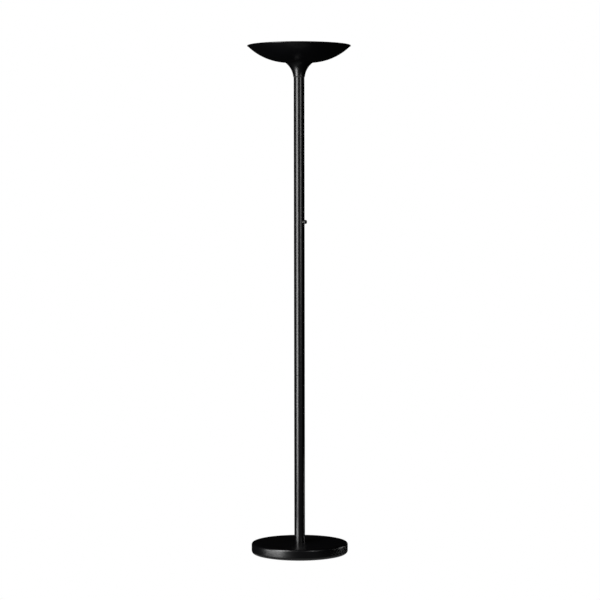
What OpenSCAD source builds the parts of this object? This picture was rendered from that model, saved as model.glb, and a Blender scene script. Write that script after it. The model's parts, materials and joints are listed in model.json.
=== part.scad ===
// Torchiere floor lamp: weighted disc base, two-part steel pole with a rotary dimmer,
// and an uplight bowl on a flared neck with a light-emitting-diode engine under a diffuser.
// Millimetres, +Z up, origin at the middle of the base on the floor. The dimmer knob points
// along +X and the cord inlet along -X.

/* [Overall] */
// Height from the floor to the top of the bowl's rim
lamp_h = 1800; // [1500:5:2100]

/* [Base] */
// Diameter of the base
base_d = 342; // [285:1:420]
// Height of the base's top face above the floor
base_h = 40; // [38:0.5:50]
// Sheet thickness of the pressed cover
cover_wall = 1.5; // [1:0.1:2]
// Radius of the cover's upper edge
cover_top_edge = 6.5; // [3:0.5:8]
// Radius of the cover's lower edge, where it is crimped under
cover_low_edge = 11; // [8:0.5:12]
// Width of the crimped lip under the base plate
cover_lip = 5; // [3:0.5:8]
// Height of the crimped lip above the floor
cover_lift = 1.5; // [1:0.1:2]
// Thickness of the floor pad
pad_t = 3; // [2.5:0.1:3.5]
// Width of the ring-shaped floor pad
pad_width = 47; // [20:1:55]
// Thickness of the base plate
plate_t = 1.5; // [1:0.1:2]
// Thickness of the cast weight's disc
weight_t = 9; // [7:0.5:10]
// Diameter of the weight's hub around the pole
hub_d = 72; // [60:1:80]
// Thickness of the hub's floor under the pole
hub_floor = 5; // [4:0.5:6]
// Diameter of the circle that the plate's screws lie on
plate_screw_pcd = 170; // [140:1:200]
// Bore of the cord inlet
inlet_bore_d = 7.4; // [6:0.1:9]
// Height of the cord inlet above the floor
inlet_z = 20.5; // [19:0.5:22]

/* [Pole] */
// Outside diameter of the pole
pole_d = 38; // [36:0.5:46]
// Wall of the pole
pole_wall = 1.2; // [1:0.1:1.6]
// Height of the screwed joint between the two pole tubes
joint_z = 636; // [400:1:900]
// Width of the shadow line at that joint
joint_gap = 1.5; // [0.8:0.1:2]
// Depth of the shadow line
joint_groove = 0.8; // [0.4:0.1:1]
// Diameter of the joint's screw thread
joint_thread_d = 24; // [22:0.5:25]
// Length of the joint's screw thread
joint_thread_l = 28; // [20:1:40]
// Length of each insert that is pressed into a tube
insert_l = 38; // [32:1:60]
// Bore through the joint for the leads
joint_bore_d = 17; // [15:0.5:18]

/* [Dimmer] */
// Height of the knob's axis
knob_z = 1179; // [1000:1:1300]
// Diameter of the knob
knob_d = 14; // [13.6:0.1:18]
// Length of the knob
knob_l = 8.8; // [8:0.1:12]
// Travel of the knob as a push switch
push_travel = 0.8; // [0.5:0.1:0.8]
// Diameter of the knob's shaft
shaft_d = 6; // [5:0.1:6]
// Diameter of the threaded bushing
bushing_d = 8; // [8:0.1:8.6]
// Width of the dimmer's housing across the pole
housing_w = 20; // [18:0.5:20]
// Height of the dimmer's housing
housing_h = 34; // [30:1:50]

/* [Head] */
// Diameter of the bowl over its rim
bowl_d = 365; // [305:1:440]
// Depth of the bowl, from its rim to its flat bottom
bowl_depth = 59.5; // [50:0.5:72]
// Radius of the flat bottom
bowl_flat_r = 41.5; // [41:0.5:46]
// Sheet thickness of the bowl
bowl_wall = 1.2; // [1:0.1:1.6]
// Diameter of the rolled bead round the rim
rim_bead_d = 3.2; // [2.6:0.1:4]
// Height of the flared neck
neck_h = 50.5; // [45:0.5:60]
// Diameter of the neck where it meets the bowl
neck_top_d = 100; // [90:0.5:104]
// Wall of the neck's sleeve round the pole
neck_sleeve_wall = 1.45; // [1.2:0.05:3]
// Radius of the neck's hollow curve
neck_curve_r = 70; // [60:1:90]
// Wall of the neck's hollow part
neck_wall = 2.6; // [2:0.1:3]
// Depth to which the pole enters the neck
neck_socket = 22; // [18:0.5:24]
// Chamfer round the neck's foot
neck_foot_edge = 1.1; // [0.3:0.1:1.1]
// Height of the rubber ring that seals the neck's foot against the pole
neck_seal_h = 2.5; // [1:0.1:4]

/* [Light] */
// Diameter of the heat sink
sink_d = 128; // [124:1:140]
// Height of the pillars under the heat sink
pillar_h = 9; // [8:0.5:12]
// Thickness of the heat sink's plate
sink_t = 4; // [3:0.5:5]
// Depth of the heat sink's fins
fin_depth = 4.5; // [3:0.5:5]
// Number of fins
fin_count = 36; // [24:1:40]
// Diameter of the circuit board
board_d = 124; // [118:1:134]
// Diameter of the diffuser
diffuser_d = 166; // [156:1:180]
// Height of the diffuser's dome above its skirt
dome_h = 19; // [14:0.5:22]
// Wall of the diffuser
diffuser_wall = 2; // [1.5:0.1:3]

/* [Hidden] */
$fn = 96;
eps = 0.01;

// Clearances: a running fit, a screw in its thread, and pieces that are set into each other
run_clear = 0.05;
thread_clear = 0.05;
slip_clear = 0.2;

// Base, from the floor up
base_r = base_d / 2;
lip_r = base_r - cover_low_edge - cover_lip;
pad_r = lip_r - 0.5;
plate_z = cover_lift + cover_wall;
plate_r = base_r - cover_low_edge - 0.5;
weight_z = plate_z + plate_t;
weight_top = weight_z + weight_t;
weight_r = base_r - cover_low_edge + 1;
hub_top = base_h - cover_wall;
hub_r = hub_d / 2;
bolt_recess = 4;
socket_z = weight_z + bolt_recess + hub_floor;
bolt_d = 10;
bolt_washer_r = 11;
bolt_washer_t = 1.6;
bolt_head_h = 4.6;
bolt_head_af = 16;
foot_plug_t = 9;
lead_hole_r = 4;
lead_hole_z = hub_top - 1.3 - lead_hole_r;
plate_screw_count = 4;
plate_screw_d = 4;

// Cord inlet
inlet_r = inlet_bore_d / 2;
grommet_neck_r = inlet_r + 1.6;
grommet_flange_r = inlet_r + 3.7;
grommet_out = 2.4;
grommet_in = 4;

// Terminal block and earth screw
block_size = [17, 32, 14];
block_x = -base_r + cover_wall + grommet_in + 12;
port_pitch = 10;
port_z = inlet_z;
port_r = 2.6;
insert_wall = 1;
clamp_r = 1.5;
clamp_x = [block_x + 4.25, block_x + block_size[0] - 4.25];
earth_at = [-base_r + 70, -46];
tag_t = 0.8;

// Driver
driver_size = [110, 45, 18];
driver_at = [0, hub_r + 14 + driver_size[1] / 2];
driver_ear = 9;
driver_lead_z = weight_top + 9;

// Pole
pole_r = pole_d / 2;
pole_in_r = pole_r - pole_wall;
insert_r = pole_in_r;
pole_gap_r = pole_r - joint_groove;
neck_z = lamp_h - bowl_depth - neck_h;
pole_top = neck_z + neck_socket;
thread_r = joint_thread_d / 2;
joint_bore_r = joint_bore_d / 2;
lead_x = joint_bore_r - 3.5;

// Dimmer: distances along X from the pole's axis
knob_r = knob_d / 2;
shaft_r = shaft_d / 2;
bushing_r = bushing_d / 2;
housing_wall = 1.5;
housing_front = pole_r - 7.5;
housing_back = -housing_front - 0.5;
washer_t = 0.4;
ring_nut_t = 1.5;
washer_x = pole_r + 0.05;
ring_nut_x = washer_x + washer_t;
bushing_end = ring_nut_x + ring_nut_t + 0.35;
knob_back = pole_r + push_travel + 0.4;
knob_front = knob_back + knob_l;
knob_cavity_end = bushing_end + push_travel + 0.2;
knob_cavity_r = knob_r - 1;
ring_nut_r = knob_cavity_r - 0.6;
washer_r = knob_cavity_r - 0.4;
shaft_front = knob_front - 1.5;
shaft_flange_t = 1.5;
shaft_back = housing_front - housing_wall - shaft_flange_t - 0.1;
plunger_t = 3;
plunger_half = 6;
plunger_front = shaft_back - 0.1;
spring_turns = 6;
spring_r = 3.6;
spring_wire_r = 0.35;

// Head
bowl_r = bowl_d / 2;
bead_r = rim_bead_d / 2;
bowl_z = lamp_h - bowl_depth;
bead_at = [bowl_r - bead_r, lamp_h - bead_r];
// The bowl's curve leaves its flat bottom level and ends in the middle of the bead
curve_w = bead_at[0] - bowl_flat_r;
curve_h = bead_at[1] - bowl_z;
bowl_curve_r = (pow(curve_w, 2) + pow(curve_h, 2) - pow(bowl_wall, 2) / 4)
    / (2 * curve_h - bowl_wall);
bowl_centre = [bowl_flat_r, bowl_z + bowl_curve_r];
bowl_floor = bowl_z + bowl_wall;
neck_top_r = neck_top_d / 2;
sleeve_r = pole_r + 0.15;
neck_low_r = sleeve_r + neck_sleeve_wall;
neck_seal_r = pole_r + 0.6;
web_z = pole_top;
web_t = 5;
neck_flange_t = 3;
neck_flange_in = 23;
bowl_screw_r = 31;
bowl_screw_d = 4;
nipple_d = 10;
nipple_bore_d = 7;
nipple_low = pole_top - 24;
top_insert_l = 30;
head_washer_t = 1.6;
head_nut_t = 5;
nipple_top = web_z + web_t + head_washer_t + head_nut_t + 2.4;
wire_hole_r = 8;

// Light engine
pillar_r = 4;
pillar_at_r = 35;
sink_z = bowl_floor + pillar_h;
sink_top = sink_z + sink_t;
pad_film_t = 0.5;
board_z = sink_top + pad_film_t;
board_t = 1.6;
board_top = board_z + board_t;
board_r = board_d / 2;
led_size = [3.5, 2.8, 0.8];
// Rings of light-emitting diodes: radius and count
led_rings = [[23, 8], [46, 20], [board_r - 5.5, 26]];
light_screw_d = 3;
lead_r = 1.2;
lead_y = 1.4;
plug_size = [8, 8, 4.2];
plug_x = 8;
plug_z = board_top + plug_size[2] / 2;
diffuser_r = diffuser_d / 2;
skirt_h = 7;
clip_reach = 7;
clip_w = 10;
clip_t = 0.6;
clip_h = 6;
skirt_gap = 1.2;

// Height of the bowl's inner face above its flat floor at a radius
function bowl_rise(r) = r <= bowl_flat_r ? 0
    : (bowl_curve_r - bowl_wall)
      - sqrt(pow(bowl_curve_r - bowl_wall, 2) - pow(r - bowl_flat_r, 2));

skirt_z = bowl_floor + bowl_rise(diffuser_r) + skirt_gap;
dome_z = max(skirt_z + skirt_h, board_top + 4.5);
dome_r = (pow(diffuser_r, 2) + pow(dome_h, 2)) / (2 * dome_h);

// ---- Shared shapes ------------------------------------------------------------------

// Half outline of a disc with rounded lower and upper edges
module disc_outline(r, low, high, low_edge, top_edge) {
    inner = r - max(low_edge, top_edge);
    translate([0, low]) square([inner, high - low]);
    translate([0, low + low_edge]) square([r, high - low - low_edge - top_edge]);
    translate([0, low]) square([r - low_edge, low_edge]);
    translate([0, high - top_edge]) square([r - top_edge, top_edge]);
    translate([r - low_edge, low + low_edge]) circle(low_edge);
    translate([r - top_edge, high - top_edge]) circle(top_edge);
}

module tube(outer_r, inner_r, length) {
    difference() {
        cylinder(r = outer_r, h = length);
        translate([0, 0, -1]) cylinder(r = inner_r, h = length + 2);
    }
}

// A body of revolution about X, drawn from x_from to x_to
module along_x(x_from, x_to, r) {
    translate([x_from, 0, 0]) rotate([0, 90, 0]) cylinder(r = r, h = x_to - x_from);
}

module at_knob() {
    translate([0, 0, knob_z]) children();
}

module ring_of(count, r, turn = 0) {
    for (i = [0:count - 1]) rotate([0, 0, turn + i * 360 / count]) translate([r, 0, 0]) children();
}

// Pan-head screw, head upwards, with its head's seat at z = 0 and a cross recess
module pan_screw(d, length) {
    head_r = d * 0.95;
    head_h = d * 0.6;
    slot = d * 0.24;
    difference() {
        union() {
            translate([0, 0, -length]) cylinder(r = d / 2, h = length + eps);
            intersection() {
                cylinder(r = head_r, h = head_h);
                translate([0, 0, head_h - head_r * 1.6]) sphere(r = head_r * 1.6);
            }
        }
        for (a = [0, 90]) rotate([0, 0, a])
            translate([-head_r * 0.55, -slot / 2, head_h * 0.35]) cube([head_r * 1.1, slot, head_h]);
    }
}

module hex_prism(across_flats, h) {
    cylinder(r = across_flats / sqrt(3), h = h, $fn = 6);
}

// ---- Round tubes along a route: wires and the spring ---------------------------------

function unit(v) = v / norm(v);

// A right-angled bend or any other corner of a route, turned into an arc of radius r
function corner(a, p, b, r, steps) =
    let (u = unit(a - p), v = unit(b - p), half = acos(u * v) / 2,
         reach = r / tan(half), centre = p + unit(u + v) * r / sin(half),
         from = p + u * reach - centre, to = p + v * reach - centre, sweep = 180 - 2 * half)
    [for (i = [0:steps]) centre
        + (from * sin(sweep * (1 - i / steps)) + to * sin(sweep * i / steps)) / sin(sweep)];

function rounded(route, r, steps = 6) = concat(
    [route[0]],
    [for (i = [1:len(route) - 2]) each corner(route[i - 1], route[i], route[i + 1], r, steps)],
    [route[len(route) - 1]]);

function heading(p, i) = unit(unit(p[min(i + 1, len(p) - 1)] - p[min(i, len(p) - 2)])
    + unit(p[max(i, 1)] - p[max(i - 1, 0)]));

// Each ring's normal is the last one's with its part along the new heading taken away
function normals(p) = [
    for (i = 0, n = unit(cross(heading(p, 0), abs(heading(p, 0)[2]) > 0.9 ? [1, 0, 0] : [0, 0, 1]));
         i < len(p);
         i = i + 1, n = i < len(p) ? unit(n - (n * heading(p, i)) * heading(p, i)) : n) n];

module sweep_tube(p, r, sides = 8) {
    n = normals(p);
    rings = [for (i = [0:len(p) - 1]) let (t = heading(p, i), b = cross(t, n[i]))
        for (k = [0:sides - 1]) p[i] + r * (n[i] * cos(k * 360 / sides) + b * sin(k * 360 / sides))];
    last = (len(p) - 1) * sides;
    polyhedron(points = rings, faces = concat(
        [[for (k = [0:sides - 1]) k]],
        [for (i = [0:len(p) - 2], k = [0:sides - 1]) let (a = i * sides + k, b = i * sides + (k + 1) % sides)
            each [[a, a + sides, b], [b, a + sides, b + sides]]],
        [[for (k = [sides - 1:-1:0]) last + k]]));
}

// ---- Base ----------------------------------------------------------------------------

module base_pad() {
    color("dimgray") tube(pad_r, pad_r - pad_width, pad_t);
}

module base_plate() {
    color("silver") translate([0, 0, plate_z]) difference() {
        cylinder(r = plate_r, h = plate_t);
        translate([0, 0, -1]) cylinder(r = bolt_washer_r + 3, h = plate_t + 2);
        ring_of(plate_screw_count, plate_screw_pcd / 2, 45)
            translate([0, 0, -1]) cylinder(r = plate_screw_d / 2 + slip_clear, h = plate_t + 2);
    }
}

module base_plate_screws() {
    color("gainsboro") ring_of(plate_screw_count, plate_screw_pcd / 2, 45)
        translate([0, 0, plate_z]) mirror([0, 0, 1]) pan_screw(plate_screw_d, plate_t + weight_t - 1);
}

module base_weight() {
    color("darkslategray") difference() {
        union() {
            translate([0, 0, weight_z]) cylinder(r = weight_r, h = weight_t);
            translate([0, 0, weight_top - 1]) cylinder(r = hub_r, h = hub_top - weight_top + 1);
            for (a = [60, 180, 300]) rotate([0, 0, a]) translate([hub_r - 2, -3, weight_top - 1])
                cube([14, 6, 7]);
        }
        translate([0, 0, socket_z]) cylinder(r = pole_r + slip_clear, h = hub_top);
        translate([0, 0, weight_z - 1]) cylinder(r = bolt_washer_r + 1, h = bolt_recess + 1);
        translate([0, 0, weight_z]) cylinder(r = bolt_d / 2 + slip_clear, h = hub_top);
        translate([pole_in_r - 2, 0, lead_hole_z]) rotate([0, 90, 0])
            cylinder(r = lead_hole_r, h = hub_r);
        ring_of(plate_screw_count, plate_screw_pcd / 2, 45)
            translate([0, 0, weight_z - 1]) cylinder(r = plate_screw_d / 2 + thread_clear, h = weight_t);
        translate([earth_at[0], earth_at[1], weight_top - 6])
            cylinder(r = plate_screw_d / 2 + thread_clear, h = 7);
        for (s = [-1, 1]) translate([driver_at[0] + s * (driver_size[0] + driver_ear) / 2,
                                     driver_at[1], weight_top - 6])
            cylinder(r = light_screw_d / 2 + thread_clear, h = 7);
    }
}

module base_cover() {
    color([0.03, 0.03, 0.03]) difference() {
        rotate_extrude() difference() {
            disc_outline(base_r, cover_lift, base_h, cover_low_edge, cover_top_edge);
            disc_outline(base_r - cover_wall, cover_lift + cover_wall, base_h - cover_wall,
                         cover_low_edge - cover_wall, cover_top_edge - cover_wall);
            translate([-1, cover_lift - 1]) square([lip_r + 1, cover_wall + 1.5]);
            translate([-1, hub_top - 1]) square([pole_r + slip_clear + 1, cover_wall + 2]);
        }
        translate([-base_r - 2, 0, inlet_z]) rotate([0, 90, 0])
            cylinder(r = grommet_neck_r, h = cover_low_edge + 2);
    }
}

module cord_grommet() {
    color("black") difference() {
        union() {
            difference() {
                translate([0, 0, inlet_z]) along_x(-base_r - grommet_out, -base_r + 1, grommet_flange_r);
                cylinder(r = base_r, h = base_h);
            }
            intersection() {
                translate([0, 0, inlet_z])
                    along_x(-base_r - 1, -base_r + cover_wall + grommet_in, grommet_flange_r);
                cylinder(r = base_r - cover_wall, h = base_h);
            }
            translate([0, 0, inlet_z])
                along_x(-base_r - grommet_out, -base_r + cover_wall + grommet_in, grommet_neck_r);
        }
        translate([0, 0, inlet_z]) along_x(-base_r - 10, -base_r + 20, inlet_r);
    }
}

// Places of the block's ports: earth, neutral, live
function port_y(i) = (i - 1) * port_pitch;

module terminal_block() {
    color("whitesmoke") difference() {
        union() {
            translate([block_x, -block_size[1] / 2, weight_top])
                cube([block_size[0], block_size[1], port_z + block_size[2] / 2 - weight_top]);
            for (i = [0:2], x = clamp_x)
                translate([x, port_y(i), port_z + block_size[2] / 2 - eps]) cylinder(r = port_r, h = 1.5);
        }
        for (i = [0:2]) {
            translate([0, port_y(i), port_z]) along_x(block_x - 1, block_x + block_size[0] + 1, port_r);
            for (x = clamp_x) translate([x, port_y(i), port_z])
                cylinder(r = clamp_r + 2 * thread_clear, h = block_size[2]);
        }
    }
}

module terminal_inserts() {
    color("goldenrod") for (i = [0:2]) {
        translate([0, port_y(i), port_z]) difference() {
            along_x(block_x + 1, block_x + block_size[0] - 1, port_r - thread_clear);
            along_x(block_x, block_x + block_size[0], port_r - insert_wall);
            for (x = clamp_x) translate([x, 0, 0]) cylinder(r = clamp_r + thread_clear, h = port_r + 1);
        }
        for (x = clamp_x) translate([x, port_y(i), port_z + lead_r]) difference() {
            cylinder(r = clamp_r, h = block_size[2] / 2 - lead_r);
            translate([-2, -0.3, block_size[2] / 2 - lead_r - 1]) cube([4, 0.6, 2]);
        }
    }
}

module earth_screw() {
    color("gold") translate([earth_at[0], earth_at[1], weight_top + tag_t]) {
        pan_screw(plate_screw_d, 5.5);
        translate([0, 0, -tag_t]) tube(plate_screw_d, plate_screw_d / 2 - 0.2, tag_t);
        translate([-1.5, plate_screw_d - 0.5, -tag_t]) cube([3, 7, tag_t]);
    }
}

module led_driver() {
    size = driver_size;
    color("white") translate([driver_at[0], driver_at[1], weight_top]) difference() {
        union() {
            translate([-size[0] / 2, -size[1] / 2, 0]) cube(size);
            translate([-size[0] / 2 - driver_ear, -8, 0]) cube([size[0] + 2 * driver_ear, 16, 2.5]);
            translate([-size[0] / 2 + 6, -size[1] / 2 + 4, size[2] - eps])
                cube([size[0] - 12, size[1] - 8, 0.8]);
        }
        for (s = [-1, 1]) translate([s * (size[0] + driver_ear) / 2, 0, -1])
            cylinder(r = light_screw_d / 2 + slip_clear, h = 5);
    }
}

module driver_screws() {
    color("gainsboro") for (s = [-1, 1])
        translate([driver_at[0] + s * (driver_size[0] + driver_ear) / 2, driver_at[1], weight_top + 2.5])
            pan_screw(light_screw_d, 7.5);
}

module foot_bolt() {
    head_top = weight_z + bolt_recess - bolt_washer_t;
    color("silver") {
        translate([0, 0, head_top - bolt_head_h]) hex_prism(bolt_head_af, bolt_head_h);
        translate([0, 0, head_top - 1]) cylinder(r = bolt_d / 2,
            h = bolt_washer_t + hub_floor + foot_plug_t - 0.5 + 1);
    }
}

module foot_washer() {
    color("silver") translate([0, 0, weight_z + bolt_recess - bolt_washer_t])
        tube(bolt_washer_r, bolt_d / 2 + slip_clear, bolt_washer_t);
}

module pole_foot_plug() {
    color("silver") translate([0, 0, socket_z])
        tube(pole_in_r, bolt_d / 2 + thread_clear, foot_plug_t);
}

// ---- Pole ----------------------------------------------------------------------------

module lower_pole() {
    color([0.03, 0.03, 0.03]) difference() {
        translate([0, 0, socket_z]) tube(pole_r, pole_in_r, joint_z - joint_gap / 2 - socket_z);
        translate([0, 0, lead_hole_z]) along_x(0, pole_r + 5, lead_hole_r);
    }
}

module joint_socket() {
    color("silver") translate([0, 0, joint_z - joint_gap / 2 - insert_l])
        tube(insert_r, thread_r + thread_clear, insert_l);
}

module joint_stud() {
    color("silver") difference() {
        union() {
            translate([0, 0, joint_z - joint_gap / 2 - joint_thread_l])
                cylinder(r = thread_r, h = joint_thread_l + 1);
            translate([0, 0, joint_z - joint_gap / 2]) cylinder(r = pole_gap_r, h = joint_gap);
            translate([0, 0, joint_z]) cylinder(r = insert_r, h = insert_l);
        }
        translate([0, 0, joint_z - 100]) cylinder(r = joint_bore_r, h = 200);
    }
}

module upper_pole() {
    color([0.03, 0.03, 0.03]) difference() {
        translate([0, 0, joint_z + joint_gap / 2])
            tube(pole_r, pole_in_r, pole_top - joint_z - joint_gap / 2);
        at_knob() along_x(0, pole_r + 5, bushing_r + slip_clear);
    }
}

module pole_top_insert() {
    color("silver") translate([0, 0, pole_top - top_insert_l])
        tube(insert_r, nipple_d / 2 + thread_clear, top_insert_l);
}

// ---- Dimmer --------------------------------------------------------------------------

module housing_block(from, to, inset) {
    translate([from, -housing_w / 2 + inset, -housing_h / 2 + inset])
        cube([to - from, housing_w - 2 * inset, housing_h - 2 * inset]);
}

module dimmer_housing() {
    color("darkgray") at_knob() difference() {
        housing_block(housing_back + housing_wall, housing_front, 0);
        housing_block(housing_back, housing_front - housing_wall, housing_wall);
        along_x(0, housing_front + 1, shaft_r + slip_clear);
    }
}

module dimmer_back_cover() {
    color("gray") at_knob() difference() {
        housing_block(housing_back, housing_back + housing_wall, 0);
        for (z = [-1, 1]) translate([0, 0, z * housing_h * 0.36])
            along_x(housing_back - 1, housing_back + housing_wall + 1, 1.2);
    }
}

module dimmer_board() {
    board_y = housing_w / 2 - housing_wall - 1.3;
    reach = housing_front - housing_back - 2 * housing_wall - 0.5;
    depth = board_y - plunger_half;
    color("seagreen") at_knob() {
        translate([housing_back + housing_wall, board_y, -housing_h / 2 + 2])
            cube([reach, 1.2, housing_h - 4]);
        for (x = [-0.25, 0.2]) translate([x * reach, board_y - 3, housing_h / 2 - 9])
            cube([4, 3 + eps, 6]);
        translate([-3, board_y - 4, -housing_h / 2 + 3.5]) cube([9, 4 + eps, 5]);
        translate([2, board_y - depth, housing_h / 2 - 10]) cube([1.2, depth + eps, 1.2]);
    }
}

module dimmer_bushing() {
    seat = sqrt(pow(pole_in_r, 2) - pow(bushing_r + 2.2, 2)) - 0.1;
    color("silver") at_knob() difference() {
        union() {
            along_x(housing_front, seat, bushing_r + 2.2);
            along_x(seat - 1, bushing_end, bushing_r);
        }
        along_x(0, bushing_end + 1, shaft_r + run_clear);
    }
}

module dimmer_washer() {
    color("silver") at_knob() difference() {
        along_x(washer_x, washer_x + washer_t, washer_r);
        along_x(0, washer_x + 5, bushing_r + slip_clear);
    }
}

module dimmer_ring_nut() {
    color("silver") at_knob() difference() {
        along_x(ring_nut_x, ring_nut_x + ring_nut_t, ring_nut_r);
        along_x(0, ring_nut_x + 5, bushing_r + thread_clear);
        for (a = [0, 90]) rotate([a, 0, 0])
            translate([ring_nut_x + ring_nut_t / 2, -0.5, -10]) cube([5, 1, 20]);
    }
}

module switch_spring() {
    from = housing_back + housing_wall;
    to = plunger_front - plunger_t;
    wire = spring_wire_r;
    steps = spring_turns * 12;
    color("lightgray") at_knob() sweep_tube([for (i = [0:steps])
        [from + wire + (to - from - 2 * wire) * i / steps,
         spring_r * cos(i * 30), spring_r * sin(i * 30)]], wire, 6);
}

module switch_plunger() {
    color("ivory") at_knob() {
        translate([plunger_front - plunger_t, -plunger_half, -plunger_half])
            cube([plunger_t, 2 * plunger_half, 2 * plunger_half]);
        along_x(plunger_front - plunger_t - 4, plunger_front - 1, spring_r - 1);
    }
}

module dimmer_shaft() {
    flat = shaft_r * 0.55;
    color("silver") at_knob() difference() {
        union() {
            along_x(shaft_back, shaft_front, shaft_r);
            along_x(shaft_back, shaft_back + shaft_flange_t, shaft_r + 1.3);
        }
        translate([knob_cavity_end, -shaft_r - 1, flat]) cube([knob_l, 2 * shaft_r + 2, shaft_r]);
    }
}

module dimmer_knob() {
    face_edge = 1.6;
    flat = shaft_r * 0.55;
    color([0.03, 0.03, 0.03]) at_knob() difference() {
        translate([knob_back, 0, 0]) rotate([0, 90, 0]) rotate_extrude()
            disc_outline(knob_r, 0, knob_l, 0.4, face_edge);
        along_x(knob_back - 1, knob_cavity_end, knob_cavity_r);
        difference() {
            along_x(knob_cavity_end - 1, shaft_front + slip_clear, shaft_r + 0.02);
            translate([knob_cavity_end, -shaft_r - 1, flat + 0.02]) cube([knob_l, 2 * shaft_r + 2, shaft_r]);
        }
    }
}

// ---- Wires ---------------------------------------------------------------------------

block_end = block_x + block_size[0] - 4;
driver_in = driver_at[0] - driver_size[0] / 2;
driver_out = driver_at[0] + driver_size[0] / 2;
wire_bend = 9;

module live_wire() {
    color("saddlebrown") sweep_tube(rounded([
        [block_end, port_y(2), port_z],
        [block_x + block_size[0] + 21, port_y(2), port_z],
        [driver_in - 36, driver_at[1] + 6, driver_lead_z],
        [driver_in, driver_at[1] + 6, driver_lead_z]], wire_bend), lead_r);
}

module neutral_wire() {
    color("steelblue") sweep_tube(rounded([
        [block_end, port_y(1), port_z],
        [block_x + block_size[0] + 32, port_y(1), port_z],
        [driver_in - 24, driver_at[1] - 5, driver_lead_z],
        [driver_in, driver_at[1] - 5, driver_lead_z]], wire_bend), lead_r);
}

module earth_wire() {
    color("yellowgreen") sweep_tube(rounded([
        [block_end, port_y(0), port_z],
        [block_x + block_size[0] + 18, port_y(0), port_z],
        [earth_at[0], earth_at[1] + 25, weight_top + tag_t + lead_r],
        [earth_at[0], earth_at[1] + plate_screw_d + 4, weight_top + tag_t + lead_r]], 7), lead_r);
}

// A lead from the driver, round the hub, in at the pole's side hole and up to the dimmer
module feed_lead(from_y, side, out_x, in_x) {
    sweep_tube(rounded([
        [driver_out, from_y, driver_lead_z],
        [out_x, from_y, driver_lead_z],
        [in_x, side * lead_y, lead_hole_z],
        [lead_x, side * lead_y, lead_hole_z],
        [lead_x, side * lead_y, knob_z - housing_h / 2]], wire_bend), lead_r);
}

module feed_lead_plus() {
    color("firebrick") feed_lead(driver_at[1] - 5, 1, driver_out + 27, hub_r + 24);
}

module feed_lead_minus() {
    color("black") feed_lead(driver_at[1] + 6, -1, driver_out + 38, hub_r + 38);
}

// A lead from the dimmer up through the nipple, the bowl and the board to its plug
module lamp_lead(side) {
    sweep_tube(rounded([
        [0, side * lead_y, knob_z + housing_h / 2],
        [0, side * lead_y, plug_z],
        [plug_x, side * lead_y, plug_z]], 5), lead_r);
}

module lamp_lead_plus() {
    color("firebrick") lamp_lead(1);
}

module lamp_lead_minus() {
    color("black") lamp_lead(-1);
}

// ---- Head ----------------------------------------------------------------------------

module head_nipple() {
    color("goldenrod") translate([0, 0, nipple_low])
        tube(nipple_d / 2, nipple_bore_d / 2, nipple_top - nipple_low);
}

module head_washer() {
    color("silver") translate([0, 0, web_z + web_t])
        tube(nipple_d, nipple_d / 2 + slip_clear, head_washer_t);
}

module head_nut() {
    color("silver") translate([0, 0, web_z + web_t + head_washer_t]) difference() {
        hex_prism(14, head_nut_t);
        translate([0, 0, -1]) cylinder(r = nipple_d / 2 + thread_clear, h = head_nut_t + 2);
    }
}

// Middle of the circle of radius r that runs from a to b and bulges towards the axis
function curve_centre(a, b, r) = let (d = norm(b - a), u = (b - a) / d)
    (a + b) / 2 + [u[1], -u[0]] * sqrt(r * r - d * d / 4);

neck_centre = curve_centre([neck_low_r, neck_z], [neck_top_r, bowl_z], neck_curve_r);

module neck() {
    color([0.03, 0.03, 0.03]) difference() {
        rotate_extrude() difference() {
            translate([sleeve_r - 1, neck_z])
                square([neck_top_r - sleeve_r + 1, neck_h]);
            translate(neck_centre) circle(neck_curve_r);
            polygon([
                [neck_low_r - neck_foot_edge, neck_z],
                [neck_low_r + 1, neck_z],
                [neck_low_r + 1, neck_z + neck_foot_edge + 1]
            ]);
        }
        translate([0, 0, neck_z - 1]) cylinder(r = sleeve_r, h = neck_h + 2);
        rotate_extrude() difference() {
            translate([0, web_z + web_t])
                square([neck_top_r, bowl_z - neck_flange_t - web_z - web_t]);
            translate(neck_centre) circle(neck_curve_r + neck_wall);
        }
        neck_holes();
    }
    color([0.03, 0.03, 0.03]) difference() {
        translate([0, 0, web_z]) cylinder(r = sleeve_r + eps, h = web_t);
        translate([0, 0, web_z - 1]) cylinder(r = nipple_d / 2 + slip_clear, h = web_t + 2);
    }
}

module neck_seal() {
    color("dimgray") translate([0, 0, neck_z - neck_seal_h])
        tube(neck_seal_r, pole_r + slip_clear, neck_seal_h);
}

module neck_holes() {
    translate([0, 0, bowl_z - neck_flange_t - 1]) cylinder(r = neck_flange_in, h = neck_flange_t + 2);
    ring_of(3, bowl_screw_r) translate([0, 0, bowl_z - neck_flange_t - 1])
        cylinder(r = bowl_screw_d / 2 + thread_clear, h = neck_flange_t + 2);
}

module bowl() {
    reach = 2 * bowl_curve_r;
    to_bead = unit(bead_at - bowl_centre);
    color([0.03, 0.03, 0.03]) difference() {
        rotate_extrude() {
            intersection() {
                translate(bowl_centre) difference() {
                    circle(bowl_curve_r);
                    circle(bowl_curve_r - bowl_wall);
                }
                translate(bowl_centre)
                    polygon([[0, 0], [0, -reach], [reach, -reach], to_bead * reach]);
            }
            translate([0, bowl_z]) square([bowl_flat_r, bowl_wall]);
            translate(bead_at) circle(bead_r);
        }
        translate([0, 0, bowl_z - 1]) cylinder(r = wire_hole_r, h = bowl_wall + 2);
        ring_of(3, bowl_screw_r) translate([0, 0, bowl_z - 1])
            cylinder(r = bowl_screw_d / 2 + slip_clear, h = bowl_wall + 2);
    }
}

module bowl_screws() {
    color("gainsboro") ring_of(3, bowl_screw_r) translate([0, 0, bowl_floor])
        pan_screw(bowl_screw_d, bowl_wall + neck_flange_t);
}

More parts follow.
